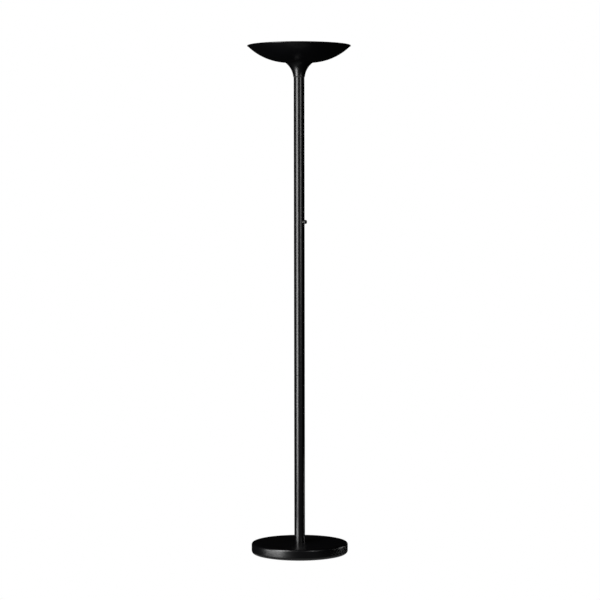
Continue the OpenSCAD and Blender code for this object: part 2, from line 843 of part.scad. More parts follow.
module sink_pillars() {
    color("silver") ring_of(3, pillar_at_r, 60) translate([0, 0, bowl_floor])
        tube(pillar_r, light_screw_d / 2 + thread_clear, pillar_h);
}

module heat_sink() {
    sink_r = sink_d / 2;
    fin_from = pillar_at_r + pillar_r + 2;
    color("lightgray") difference() {
        union() {
            translate([0, 0, sink_z]) cylinder(r = sink_r, h = sink_t);
            ring_of(fin_count, fin_from) translate([0, -0.8, sink_z - fin_depth])
                cube([sink_r - clip_reach - 1 - fin_from, 1.6, fin_depth + 1]);
        }
        translate([0, 0, sink_z - 1]) cylinder(r = wire_hole_r - 2, h = sink_t + 2);
        ring_of(3, pillar_at_r, 60) translate([0, 0, sink_z - 1])
            cylinder(r = light_screw_d / 2 + slip_clear, h = sink_t + 2);
    }
}

module drilled_disc(r, z, t) {
    translate([0, 0, z]) difference() {
        cylinder(r = r, h = t);
        translate([0, 0, -1]) cylinder(r = wire_hole_r - 2, h = t + 2);
        ring_of(3, pillar_at_r, 60) translate([0, 0, -1])
            cylinder(r = light_screw_d / 2 + slip_clear, h = t + 2);
    }
}

module thermal_pad() {
    color("lightpink") drilled_disc(board_r - 1, sink_top, pad_film_t);
}

module led_board() {
    color("whitesmoke") drilled_disc(board_r, board_z, board_t);
}

module led_packages() {
    color("khaki") for (ring = led_rings) ring_of(ring[1], ring[0], 180 / ring[1])
        translate([-led_size[0] / 2, -led_size[1] / 2, board_top]) cube(led_size);
}

module board_plug() {
    color("ivory") translate([plug_x, -plug_size[1] / 2, board_top]) difference() {
        cube(plug_size);
        translate([plug_size[0] - 2, 1, 1]) cube([3, plug_size[1] - 2, plug_size[2]]);
    }
}

module board_screws() {
    color("gainsboro") ring_of(3, pillar_at_r, 60) translate([0, 0, board_top])
        pan_screw(light_screw_d, board_t + pad_film_t + sink_t + pillar_h - 2);
}

module diffuser_clips() {
    // The clip's flat end touches the skirt's curved wall at its two corners
    end = sqrt(pow(diffuser_r - diffuser_wall, 2) - pow(clip_w / 2, 2));
    from = sink_d / 2 - clip_reach;
    color("silver") ring_of(3, 0, 30) {
        translate([from, -clip_w / 2, sink_z - clip_t]) cube([end - from, clip_w, clip_t]);
        translate([end - clip_t, -clip_w / 2, sink_z - clip_t]) cube([clip_t, clip_w, clip_h]);
    }
}

module diffuser() {
    color("white") difference() {
        union() {
            translate([0, 0, skirt_z]) cylinder(r = diffuser_r, h = dome_z - skirt_z);
            intersection() {
                translate([0, 0, dome_z + dome_h - dome_r]) sphere(r = dome_r);
                translate([0, 0, dome_z - eps]) cylinder(r = diffuser_r + 1, h = dome_h + 1);
            }
        }
        translate([0, 0, skirt_z - 1]) cylinder(r = diffuser_r - diffuser_wall, h = dome_z - skirt_z + 1);
        intersection() {
            translate([0, 0, dome_z + dome_h - dome_r]) sphere(r = dome_r - diffuser_wall);
            translate([0, 0, dome_z - eps]) cylinder(r = diffuser_r - diffuser_wall, h = dome_h + 1);
        }
    }
}

// ---- The nodes -----------------------------------------------------------------------

base_pad();
base_plate();
base_plate_screws();
base_weight();
base_cover();
cord_grommet();
terminal_block();
terminal_inserts();
earth_screw();
led_driver();
driver_screws();
foot_bolt();
foot_washer();
pole_foot_plug();
lower_pole();
joint_socket();
joint_stud();
upper_pole();
pole_top_insert();
dimmer_housing();
dimmer_back_cover();
dimmer_board();
dimmer_bushing();
dimmer_washer();
dimmer_ring_nut();
switch_spring();
switch_plunger();
dimmer_shaft();
dimmer_knob();
live_wire();
neutral_wire();
earth_wire();
feed_lead_plus();
feed_lead_minus();
lamp_lead_plus();
lamp_lead_minus();
head_nipple();
head_washer();
head_nut();
neck_seal();
neck();
bowl();
bowl_screws();
sink_pillars();
heat_sink();
thermal_pad();
led_board();
led_packages();
board_plug();
board_screws();
diffuser_clips();
diffuser();
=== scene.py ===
"""Looks of a torchiere floor lamp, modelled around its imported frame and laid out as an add-on."""

import json
from math import acos, atan2, ceil, cos, pi, radians, sin, sqrt, tan, tau

import bmesh
import bpy
from bpy.props import FloatProperty, FloatVectorProperty, IntProperty, PointerProperty
from mathutils import Matrix, Vector


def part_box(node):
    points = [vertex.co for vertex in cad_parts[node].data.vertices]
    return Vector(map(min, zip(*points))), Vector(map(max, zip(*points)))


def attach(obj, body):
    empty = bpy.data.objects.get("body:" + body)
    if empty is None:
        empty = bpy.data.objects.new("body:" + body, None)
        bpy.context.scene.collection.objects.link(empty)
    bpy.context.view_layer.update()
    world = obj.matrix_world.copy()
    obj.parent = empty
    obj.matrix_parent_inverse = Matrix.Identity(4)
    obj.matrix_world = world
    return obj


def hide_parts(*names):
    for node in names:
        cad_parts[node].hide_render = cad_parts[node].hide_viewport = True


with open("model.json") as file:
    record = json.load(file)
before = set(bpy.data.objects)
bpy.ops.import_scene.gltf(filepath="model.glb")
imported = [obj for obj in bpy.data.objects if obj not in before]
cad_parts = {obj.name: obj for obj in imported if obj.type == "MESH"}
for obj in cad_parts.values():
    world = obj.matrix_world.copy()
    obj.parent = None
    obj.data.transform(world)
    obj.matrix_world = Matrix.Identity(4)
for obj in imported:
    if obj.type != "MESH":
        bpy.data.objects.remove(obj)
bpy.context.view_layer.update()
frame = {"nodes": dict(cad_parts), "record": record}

bl_info = {
    "name": "Torchiere Floor Lamp",
    "version": (1, 0, 0),
    "blender": (4, 5, 0),
    "location": "View3D > Sidebar > Torchiere",
    "description": "Builds the turned, moulded and coated pieces of an uplight floor lamp",
    "category": "Add Mesh",
}

MM = 0.001
WELD = 1e-7
SHARP = radians(35)


def low(node):
    """The lowest corner of a node of the frame."""
    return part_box(node)[0]


def high(node):
    """The highest corner of a node of the frame."""
    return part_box(node)[1]


def linear(code):
    """The linear colour of an sRGB hex code."""
    channels = [int(code[i:i + 2], 16) / 255 for i in (1, 3, 5)]
    return [c / 12.92 if c <= 0.04045 else ((c + 0.055) / 1.055) ** 2.4 for c in channels]


def length(name, description, default, smallest=0.0):
    """A size property in metres."""
    return FloatProperty(name=name, description=description, default=default, min=smallest,
                         unit="LENGTH", subtype="DISTANCE", precision=5)


def share(name, description, default):
    """A property that runs from 0 to 1."""
    return FloatProperty(name=name, description=description, default=default, min=0.0, max=1.0,
                         subtype="FACTOR")


def colour(name, description, code):
    """A colour property, given as its sRGB hex code."""
    return FloatVectorProperty(name=name, description=description, default=linear(code), size=3,
                               min=0.0, max=1.0, subtype="COLOR")


# ---- Settings ------------------------------------------------------------------------


class BaseSettings(bpy.types.PropertyGroup):
    """Sizes of the weighted base."""

    radius: length("Radius", "Outer radius of the pressed cover", high("base_cover").x)
    wall: length("Sheet", "Thickness of the cover's sheet steel", 1.5 * MM)
    upper_edge: length("Upper edge", "Radius of the cover's upper edge", 6.5 * MM)
    lower_edge: length("Lower edge", "Radius of the cover's crimped lower edge", 11 * MM)
    lip: length("Lip", "Width of the lip that is crimped under the base plate", 5 * MM)
    pole_hole: length("Pole hole", "Radius of the hole for the pole", 19.2 * MM)
    pad_width: length("Pad width", "Width of the foam ring under the base", 47 * MM)
    pad_edge: length("Pad edge", "Radius of the floor pad's cut edges", 0.4 * MM)
    burr: length("Burr", "Radius left on the cover's sheared edges", 0.3 * MM)
    grommet_lip: length("Grommet lip", "How far the grommet's flange stands off the cover", 0.2 * MM)
    grommet_tail: length("Grommet tail", "Thickness of the grommet's inner flange", 2 * MM)
    inlet_radius: length("Inlet", "Radius of the cord inlet's bore", 3.7 * MM)
    inlet_hole: length("Inlet hole", "Radius of the hole in the cover for the grommet", 5.3 * MM)


class PoleSettings(bpy.types.PropertyGroup):
    """Sizes of the two pole tubes."""

    radius: length("Radius", "Outer radius of the tube", high("lower_pole").x)
    wall: length("Wall", "Wall of the tube", 1.2 * MM)
    end_edge: length("End edge", "Radius of the deburred ends", 0.35 * MM)
    lead_hole: length("Lead hole", "Radius of the hole for the leads near the foot", 4 * MM)
    lead_hole_drop: length("Lead hole drop", "Depth of that hole below the cover's top", 6.8 * MM)
    bushing_hole: length("Bushing hole", "Radius of the hole for the dimmer's bushing", 4.2 * MM)


class KnobSettings(bpy.types.PropertyGroup):
    """Sizes of the dimmer knob."""

    radius: length("Radius", "Outer radius of the knob", high("dimmer_knob").y)
    face_edge: length("Face edge", "Radius between the knob's side and its face", 1.6 * MM)
    flutes: IntProperty(name="Flutes", description="Number of grip flutes round the side",
                        default=24, min=8, max=48)
    flute_depth: length("Flute depth", "Depth of the grip flutes", 0.2 * MM)
    mark_radius: length("Mark", "Radius of the round dimple that shows the setting", 0.9 * MM)
    mark_depth: length("Mark depth", "Depth of that dimple", 0.35 * MM)
    shaft_radius: length("Shaft", "Radius of the shaft's bore", 3.02 * MM)
    wall: length("Wall", "Wall of the knob's skirt", 1 * MM)
    cavity: length("Cavity", "Depth of the hollow that clears the ring nut", 3.3 * MM)
    face_wall: length("Face wall", "Thickness of plastic over the end of the shaft", 1.3 * MM)


class HeadSettings(bpy.types.PropertyGroup):
    """Sizes of the neck, the bowl and the diffuser."""

    neck_wall: length("Neck wall", "Wall of the neck's hollow part", 2.6 * MM)
    sleeve_wall: length("Sleeve wall", "Wall of the neck's sleeve round the pole", 1.45 * MM)
    sleeve_gap: length("Sleeve gap", "Gap between the pole and the sleeve", 0.15 * MM)
    neck_curve: length("Neck curve", "Radius of the neck's hollow curve", 70 * MM)
    neck_edge: length("Neck edge", "Radius of the neck's lower edge", 1.1 * MM)
    socket: length("Socket", "Depth to which the pole enters the neck", 22 * MM)
    web: length("Web", "Thickness of the web that the nipple passes through", 5 * MM)
    flange: length("Flange", "Thickness of the flange under the bowl", 3 * MM)
    flange_hole: length("Flange hole", "Radius of the hole in the flange", 23 * MM)
    nipple_hole: length("Nipple hole", "Radius of the hole in the web for the nipple", 5.2 * MM)
    bowl_flat: length("Bowl flat", "Radius of the bowl's flat bottom", 41.5 * MM)
    bowl_wall: length("Bowl wall", "Thickness of the spun bowl", 1.2 * MM)
    bead: length("Bead", "Radius of the bead rolled round the rim", 1.6 * MM)
    wire_hole: length("Wire hole", "Radius of the hole in the bowl for the leads", 8 * MM)
    screw_circle: length("Screw circle", "Radius of the circle of the bowl's screws", 31 * MM)
    screw_hole: length("Screw hole", "Radius of the holes for those screws", 2.2 * MM)
    dome: length("Dome", "Height of the diffuser's dome above its skirt", 19 * MM)
    diffuser_wall: length("Diffuser wall", "Wall of the diffuser", 2 * MM)
    diffuser_edge: length("Diffuser edge", "Radius of the diffuser's shoulder", 2.5 * MM)


class FinishSettings(bpy.types.PropertyGroup):
    """Colours and surfaces of the finishes."""

    black: colour("Black", "Powder coat on the base, pole, neck and bowl", "#030304")
    gloss: share("Coat roughness", "Roughness of the black powder coat", 0.3)
    white: colour("White", "Stove enamel inside the bowl", "#F1F0EC")
    opal: colour("Opal", "Opal acrylic of the diffuser", "#F4F3EE")
    knob: colour("Knob", "Moulded plastic of the knob", "#0D0D0E")
    rubber: colour("Rubber", "Grommet and floor pad", "#141414")
    zinc: colour("Zinc", "Zinc plating on screws, washers and the base plate", "#C3C6C6")
    brass: colour("Brass", "Turned brass", "#C9A45C")
    iron: colour("Iron", "Cast iron weight", "#4A4A4C")


class StageSettings(bpy.types.PropertyGroup):
    """Viewpoint and light."""

    azimuth: FloatProperty(name="Azimuth", description="Direction of the camera round the lamp",
                           default=radians(33), unit="ROTATION", subtype="ANGLE")
    distance: length("Distance", "From the pole's axis to the camera", 7.145)
    height: length("Height", "Height of the camera", 1.217)
    pitch: FloatProperty(name="Pitch", description="How far the camera looks down",
                         default=radians(2.519), unit="ROTATION", subtype="ANGLE")
    roll: FloatProperty(name="Roll", description="How far the camera leans",
                        default=radians(-0.083), unit="ROTATION", subtype="ANGLE")
    yaw: FloatProperty(name="Yaw", description="How far the camera looks past the pole",
                       default=radians(-0.018), unit="ROTATION", subtype="ANGLE")
    lens: FloatProperty(name="Lens", description="Focal length in millimetres", default=121.2,
                        min=10.0, unit="CAMERA")
    key_power: FloatProperty(name="Key", description="Power of the tall soft light on the left",
                             default=50.0, min=0.0, unit="POWER")
    front_power: FloatProperty(name="Front", description="Power of the high light near the camera",
                               default=25.5, min=0.0, unit="POWER")
    side_power: FloatProperty(name="Side", description="Power of the low light on the right",
                              default=0.09, min=0.0, unit="POWER")
    low_power: FloatProperty(name="Low", description="Power of the light beside the base",
                             default=0.45, min=0.0, unit="POWER")
    floor_power: FloatProperty(name="Floor glow", description="Power of the glow from the floor",
                               default=0.18, min=0.0, unit="POWER")
    bowl_power: FloatProperty(name="Bowl", description="Power of the light above the bowl",
                              default=0.11, min=0.0, unit="POWER")
    fill: share("Fill", "Brightness of the air round the lamp", 0.002)


SETTINGS = {
    "torchiere_base": BaseSettings,
    "torchiere_pole": PoleSettings,
    "torchiere_knob": KnobSettings,
    "torchiere_head": HeadSettings,
    "torchiere_finish": FinishSettings,
    "torchiere_stage": StageSettings,
}


# ---- Outlines and turned shapes ------------------------------------------------------


def arc(centre, radius, start, end, steps=24):
    """Sharp corners along part of a circle in the half plane (r, z), with angles in radians."""
    angles = [start + (end - start) * i / steps for i in range(steps + 1)]
    return [(centre[0] + radius * cos(a), centre[1] + radius * sin(a), 0) for a in angles]


def asin_clamped(value):
    """The angle whose sine this is, kept inside the sine's range."""
    return pi / 2 - acos(max(-1.0, min(1.0, value)))


def thirds(radius):
    """Three points round a circle, the first along X."""
    return [(radius * cos(tau * i / 3), radius * sin(tau * i / 3)) for i in range(3)]


def rounded(corners, step=radians(9)):
    """Points of a closed outline. A corner is (r, z, radius), and its radius rounds it off."""
    points = []
    for i, (r, z, radius) in enumerate(corners):
        corner = Vector((r, z))
        if radius == 0:
            points.append(corner)
            continue
        u = (Vector(corners[i - 1][:2]) - corner).normalized()
        v = (Vector(corners[(i + 1) % len(corners)][:2]) - corner).normalized()
        half = u.angle(v) / 2
        centre = corner + (u + v).normalized() * radius / sin(half)
        start = corner + u * radius / tan(half) - centre
        end = corner + v * radius / tan(half) - centre
        steps = max(3, ceil((pi - 2 * half) / step))
        points += [centre + start.slerp(end, k / steps) * radius for k in range(steps + 1)]
    return points


def turned(corners, segments=192):
    """The closed outline turned a full circle about Z, with its faces outwards."""
    bm = bmesh.new()
    ring = [bm.verts.new((point.x, 0, point.y)) for point in rounded(corners)]
    for a, b in zip(ring, ring[1:] + ring[:1]):
        bm.edges.new((a, b))
    bmesh.ops.spin(bm, geom=bm.verts[:] + bm.edges[:], cent=(0, 0, 0), axis=(0, 0, 1), angle=tau,
                   steps=segments, use_merge=True)
    bmesh.ops.remove_doubles(bm, verts=bm.verts, dist=WELD)
    bmesh.ops.recalc_face_normals(bm, faces=bm.faces)
    return bm


def drill(start, end, radius, segments=48):
    """A cutter for a round hole from one point to another."""
    bm = bmesh.new()
    start, end = Vector(start), Vector(end)
    turn = (end - start).to_track_quat("Z", "Y").to_matrix().to_4x4()
    place = Matrix.Translation((start + end) / 2) @ turn
    bmesh.ops.create_cone(bm, cap_ends=True, segments=segments, radius1=radius, radius2=radius,
                          depth=(end - start).length, matrix=place)
    return bm


def object_from(bm, name):
    """A new object in the scene with the bmesh's shape, smooth but for its real edges."""
    for face in bm.faces:
        face.smooth = True
    for edge in bm.edges:
        edge.smooth = edge.calc_face_angle(0) < SHARP
    mesh = bpy.data.meshes.new(name)
    bm.to_mesh(mesh)
    bm.free()
    made = bpy.data.objects.new(name, mesh)
    bpy.context.scene.collection.objects.link(made)
    return made


def cut(piece, cutters):
    """Takes the cutters' shapes away from a piece and leaves real edges where they cut."""
    for shape in cutters:
        cutter = object_from(shape, "cutter")
        hole = piece.modifiers.new("Hole", "BOOLEAN")
        hole.operation = "DIFFERENCE"
        hole.solver = "EXACT"
        hole.object = cutter
        bpy.context.view_layer.update()
        ready = piece.evaluated_get(bpy.context.evaluated_depsgraph_get())
        mesh = bpy.data.meshes.new_from_object(ready)
        piece.modifiers.clear()
        bpy.data.objects.remove(cutter)
        piece.data = mesh
    bm = bmesh.new()
    bm.from_mesh(piece.data)
    bmesh.ops.remove_doubles(bm, verts=bm.verts, dist=WELD)
    for edge in bm.edges:
        edge.smooth = edge.calc_face_angle(0) < SHARP
    bm.to_mesh(piece.data)
    bm.free()
    piece.data.name = piece.name


def finish(piece, body, nodes, materials):
    """Gives a piece its finishes, even shading on its flats, and its place in the frame."""
    piece.data.materials.clear()
    for material in materials:
        piece.data.materials.append(material)
    shading = piece.modifiers.new("Weighted normals", "WEIGHTED_NORMAL")
    shading.keep_sharp = True
    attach(piece, body)
    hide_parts(*nodes)


# ---- Finishes ------------------------------------------------------------------------


def add(tree, kind, settings=(), inputs=()):
    """Adds a node, sets its own settings, and sets or links its inputs."""
    node = tree.nodes.new(kind)
    for name, value in dict(settings).items():
        setattr(node, name, value)
    for socket, value in dict(inputs).items():
        if isinstance(value, bpy.types.NodeSocket):
            tree.links.new(value, node.inputs[socket])
        else:
            node.inputs[socket].default_value = value
    return node


def new_material(name, **constants):
    """A material, its node tree and its shader, with the shader's plain numbers set."""
    material = bpy.data.materials.new(name)
    material.use_nodes = True
    shader = material.node_tree.nodes["Principled BSDF"]
    for socket, value in constants.items():
        shader.inputs[socket.replace("_", " ")].default_value = value
    return material, material.node_tree, shader


def opaque(rgb, brightness=1.0):
    """A colour socket's value, with the colour made lighter or darker."""
    return [min(1.0, channel * brightness) for channel in rgb] + [1.0]


def spread(tree, vector, size, roughest, finest, detail=3.0):
    """A value that wanders between two limits over patches of a size in metres."""
    noise = add(tree, "ShaderNodeTexNoise", inputs={"Vector": vector, "Scale": 1 / size, "Detail": detail})
    return add(tree, "ShaderNodeMapRange", inputs={
        "Value": noise.outputs["Fac"], "From Min": 0.35, "From Max": 0.65,
        "To Min": finest, "To Max": roughest}).outputs["Result"]


def tint(tree, vector, size, first, second):
    """A colour that wanders between two colours over patches of a size in metres."""
    noise = add(tree, "ShaderNodeTexNoise", inputs={"Vector": vector, "Scale": 1 / size, "Detail": 3.0})
    ramp = add(tree, "ShaderNodeValToRGB", inputs={"Fac": noise.outputs["Fac"]})
    for stop, (position, tone) in zip(ramp.color_ramp.elements, ((0.38, first), (0.62, second))):
        stop.position = position
        stop.color = tone
    return ramp.outputs["Color"]


def powder_coat(name, finish_settings, gloss):
    """Steel, phosphated and powder coated. The film is nearly black and semi-gloss, so it shows
    the lights as long soft bands, broken a little by its orange peel."""
    material, tree, shader = new_material(name, IOR=1.5)
    place = add(tree, "ShaderNodeTexCoord").outputs["Object"]
    tree.links.new(tint(tree, place, 90 * MM, opaque(finish_settings.black, 0.9),
                        opaque(finish_settings.black, 1.25)), shader.inputs["Base Color"])
    tree.links.new(spread(tree, place, 120 * MM, gloss + 0.01, gloss - 0.01), shader.inputs["Roughness"])
    # Orange peel is about 1 mm from hill to hill, and drawn twice as coarse so that it shows
    peel = add(tree, "ShaderNodeTexNoise", inputs={"Vector": place, "Scale": 1 / (2 * MM), "Detail": 1.0})
    bump = add(tree, "ShaderNodeBump", inputs={
        "Strength": 0.02, "Distance": 0.02 * MM, "Height": peel.outputs["Fac"]})
    tree.links.new(bump.outputs["Normal"], shader.inputs["Normal"])
    return material


def white_stove_enamel(finish_settings):
    """Steel, sprayed white and stoved. It is matt, and its faint mottle keeps it from looking flat."""
    material, tree, shader = new_material("white_stove_enamel", Roughness=0.5, IOR=1.5)
    place = add(tree, "ShaderNodeTexCoord").outputs["Object"]
    tree.links.new(tint(tree, place, 60 * MM, opaque(finish_settings.white, 0.96),
                        opaque(finish_settings.white)), shader.inputs["Base Color"])
    # Sprayed film is grainy at about 0.5 mm
    grain = add(tree, "ShaderNodeTexNoise", inputs={"Vector": place, "Scale": 1 / (0.8 * MM), "Detail": 2.0})
    bump = add(tree, "ShaderNodeBump", inputs={
        "Strength": 0.15, "Distance": 0.03 * MM, "Height": grain.outputs["Fac"]})
    tree.links.new(bump.outputs["Normal"], shader.inputs["Normal"])
    return material


def moulded_opal_acrylic(finish_settings):
    """Acrylic with a white filler, moulded. Light wanders some millimetres under its soft gloss."""
    material, tree, shader = new_material(
        "moulded_opal_acrylic", IOR=1.49, Roughness=0.35, Subsurface_Weight=0.6, Subsurface_Scale=6 * MM)
    shader.inputs["Subsurface Radius"].default_value = (1.0, 0.9, 0.8)
    place = add(tree, "ShaderNodeTexCoord").outputs["Object"]
    tree.links.new(tint(tree, place, 40 * MM, opaque(finish_settings.opal, 0.98),
                        opaque(finish_settings.opal)), shader.inputs["Base Color"])
    frost = add(tree, "ShaderNodeTexNoise", inputs={"Vector": place, "Scale": 1 / (0.6 * MM), "Detail": 1.0})
    bump = add(tree, "ShaderNodeBump", inputs={
        "Strength": 0.1, "Distance": 0.02 * MM, "Height": frost.outputs["Fac"]})
    tree.links.new(bump.outputs["Normal"], shader.inputs["Normal"])
    return material


def moulded_plastic(name, rgb, roughness, grain=0.3 * MM, ior=1.53):
    """ABS or a like plastic from a spark-eroded mould, which gives it an even fine-grained sheen."""
    material, tree, shader = new_material(name, IOR=ior)
    place = add(tree, "ShaderNodeTexCoord").outputs["Object"]
    tree.links.new(tint(tree, place, 12 * MM, opaque(rgb, 0.93), opaque(rgb, 1.07)),
                   shader.inputs["Base Color"])
    tree.links.new(spread(tree, place, 6 * MM, roughness + 0.04, roughness - 0.04),
                   shader.inputs["Roughness"])
    pits = add(tree, "ShaderNodeTexNoise", inputs={"Vector": place, "Scale": 1 / grain, "Detail": 2.0})
    bump = add(tree, "ShaderNodeBump", inputs={
        "Strength": 0.25, "Distance": 0.03 * MM, "Height": pits.outputs["Fac"]})
    tree.links.new(bump.outputs["Normal"], shader.inputs["Normal"])
    return material


def plated_metal(name, rgb, roughness, grain, stretch=(1, 1, 1)):
    """Bare or plated metal. Its grain, drawn out along the way it was rolled or turned, spreads
    the highlights, and thin plating makes its tone wander a little."""
    material, tree, shader = new_material(name, Metallic=1.0)
    place = add(tree, "ShaderNodeTexCoord").outputs["Object"]
    drawn = add(tree, "ShaderNodeMapping", inputs={"Vector": place, "Scale": stretch}).outputs["Vector"]
    tree.links.new(tint(tree, place, 15 * MM, opaque(rgb, 0.88), opaque(rgb, 1.05)),
                   shader.inputs["Base Color"])
    tree.links.new(spread(tree, drawn, grain, roughness + 0.07, roughness - 0.05),
                   shader.inputs["Roughness"])
    lines = add(tree, "ShaderNodeTexNoise", inputs={"Vector": drawn, "Scale": 1 / grain, "Detail": 4.0})
    bump = add(tree, "ShaderNodeBump", inputs={
        "Strength": 0.2, "Distance": 0.02 * MM, "Height": lines.outputs["Fac"]})
    tree.links.new(bump.outputs["Normal"], shader.inputs["Normal"])
    return material


def sand_cast_iron(finish_settings):
    """Grey iron as it leaves a sand mould: dull, dark and pitted like coarse sand."""
    material, tree, shader = new_material("sand_cast_iron", Metallic=1.0)
    place = add(tree, "ShaderNodeTexCoord").outputs["Object"]
    tree.links.new(tint(tree, place, 20 * MM, opaque(finish_settings.iron, 0.7),
                        opaque(finish_settings.iron, 1.1)), shader.inputs["Base Color"])
    tree.links.new(spread(tree, place, 4 * MM, 0.8, 0.6), shader.inputs["Roughness"])
    sand = add(tree, "ShaderNodeTexVoronoi", inputs={"Vector": place, "Scale": 1 / (1.2 * MM)})
    bump = add(tree, "ShaderNodeBump", inputs={
        "Strength": 0.6, "Distance": 0.3 * MM, "Height": sand.outputs["Distance"]})
    tree.links.new(bump.outputs["Normal"], shader.inputs["Normal"])
    return material


def rubbery(name, rgb, cell, depth):
    """Rubber or closed-cell foam. It is dull, and its skin is covered with small cells or pits."""
    material, tree, shader = new_material(name, IOR=1.5, Sheen_Weight=0.1, Sheen_Roughness=0.6)
    place = add(tree, "ShaderNodeTexCoord").outputs["Object"]
    tree.links.new(tint(tree, place, 10 * MM, opaque(rgb, 0.85), opaque(rgb, 1.2)),
                   shader.inputs["Base Color"])
    tree.links.new(spread(tree, place, 5 * MM, 0.85, 0.7), shader.inputs["Roughness"])
    cells = add(tree, "ShaderNodeTexVoronoi", inputs={"Vector": place, "Scale": 1 / cell})
    bump = add(tree, "ShaderNodeBump", inputs={
        "Strength": 0.5, "Distance": depth, "Height": cells.outputs["Distance"]})
    tree.links.new(bump.outputs["Normal"], shader.inputs["Normal"])
    return material


def solder_mask(name, field, trace):
    """Circuit board under solder mask. Copper runs below the gloss show a shade lighter."""
    material, tree, shader = new_material(name, IOR=1.52, Roughness=0.32)
    place = add(tree, "ShaderNodeTexCoord").outputs["Object"]
    # Copper runs are about 2 mm wide with 0.4 mm between them
    runs = add(tree, "ShaderNodeTexBrick", inputs={
        "Vector": place, "Color1": trace, "Color2": trace, "Mortar": field, "Scale": 1 / (8 * MM),
        "Mortar Size": 0.05, "Brick Width": 1.0, "Row Height": 0.3})
    tree.links.new(runs.outputs["Color"], shader.inputs["Base Color"])
    bump = add(tree, "ShaderNodeBump", inputs={
        "Strength": 0.2, "Distance": 0.03 * MM, "Height": runs.outputs["Fac"]})
    tree.links.new(bump.outputs["Normal"], shader.inputs["Normal"])
    return material


def striped_pvc(name, upper, lower):
    """Earth wire's PVC, extruded green with a yellow stripe along one side."""
    material, tree, shader = new_material(name, IOR=1.53, Roughness=0.42)
    facing = add(tree, "ShaderNodeSeparateXYZ",
                 inputs={"Vector": add(tree, "ShaderNodeNewGeometry").outputs["Normal"]}).outputs["Z"]
    above = add(tree, "ShaderNodeMath", {"operation": "GREATER_THAN"}, {0: facing, 1: 0.3})
    stripe = add(tree, "ShaderNodeMix", {"data_type": "RGBA"}, {"Factor": above.outputs["Value"]})
    stripe.inputs["A"].default_value = lower
    stripe.inputs["B"].default_value = upper
    tree.links.new(stripe.outputs["Result"], shader.inputs["Base Color"])
    return material


def slot_finishes(f):
    """One finish for each of the record's material slots."""
    coat = powder_coat("satin_black_powder_coat", f, f.gloss)
    rolled, turned_grain = (1, 12, 1), (1, 1, 14)
    return {
        "black_enamel": coat,
        "bowl_enamel": coat,
        "black_oxide_steel": plated_metal("black_oxide_steel", linear("#1C1C1F"), 0.5, 0.4 * MM,
                                          turned_grain),
        "zinc_steel": plated_metal("zinc_plated_steel", f.zinc, 0.32, 0.5 * MM, rolled),
        "spring_steel": plated_metal("blued_spring_steel", linear("#8D9095"), 0.3, 0.3 * MM, rolled),
        "nickel_brass": plated_metal("nickel_plated_brass", linear("#D2CFC6"), 0.25, 0.3 * MM, turned_grain),
        "brass": plated_metal("turned_brass", f.brass, 0.28, 0.3 * MM, turned_grain),
        "aluminium": plated_metal("extruded_aluminium", linear("#D5D7DA"), 0.36, 0.5 * MM, rolled),
        "cast_iron": sand_cast_iron(f),
        "black_rubber": rubbery("moulded_nitrile_rubber", f.rubber, 0.5 * MM, 0.04 * MM),
        "pad_foam": rubbery("closed_cell_foam", f.rubber, 0.9 * MM, 0.2 * MM),
        "thermal_foil": rubbery("filled_silicone_foil", linear("#A9A9AD"), 0.6 * MM, 0.05 * MM),
        "knob_plastic": moulded_plastic("moulded_black_abs", f.knob, 0.36),
        "black_plastic": moulded_plastic("moulded_black_pbt", linear("#232323"), 0.5),
        "white_plastic": moulded_plastic("moulded_white_polycarbonate", linear("#E6E5DF"), 0.4),
        "led_phosphor": moulded_plastic("phosphor_filled_silicone", linear("#E8C24E"), 0.3, 0.2 * MM, 1.41),
        "brown_pvc": moulded_plastic("extruded_brown_pvc", linear("#5A3420"), 0.42),
        "blue_pvc": moulded_plastic("extruded_blue_pvc", linear("#2C5C9E"), 0.42),
        "red_pvc": moulded_plastic("extruded_red_pvc", linear("#A8211D"), 0.42),
        "black_pvc": moulded_plastic("extruded_black_pvc", linear("#1A1A1A"), 0.42),
        "green_yellow_pvc": striped_pvc("extruded_earth_pvc", opaque(linear("#E3D32B")),
                                        opaque(linear("#2F8A3A"))),
        "board_green": solder_mask("green_solder_mask", opaque(linear("#12502A")), opaque(linear("#1F6E3C"))),
        "board_white": solder_mask("white_solder_mask", opaque(linear("#E9EAE7")), opaque(linear("#F4F4F0"))),
        "opal_acrylic": moulded_opal_acrylic(f),
    }


FINISHES = {}


def finish_for(slot):
    """The finish of a material slot, once they are made."""
    if slot not in FINISHES:
        raise RuntimeError("Make the finishes before the pieces: there is none for " + slot)
    return FINISHES[slot]


# ---- Pieces --------------------------------------------------------------------------


class TORCHIERE_OT_finishes(bpy.types.Operator):
    """Makes every finish, and gives each node of the frame the finish of its material slot"""

    bl_idname = "torchiere.finishes"
    bl_label = "Finishes"

    def execute(self, context):
        FINISHES.update(slot_finishes(context.scene.torchiere_finish))
        for part in frame["record"]["subparts"]:
            mesh = frame["nodes"][part["node"]].data
            mesh.materials.clear()
            mesh.materials.append(finish_for(part["material_slot"]))
        return {"FINISHED"}


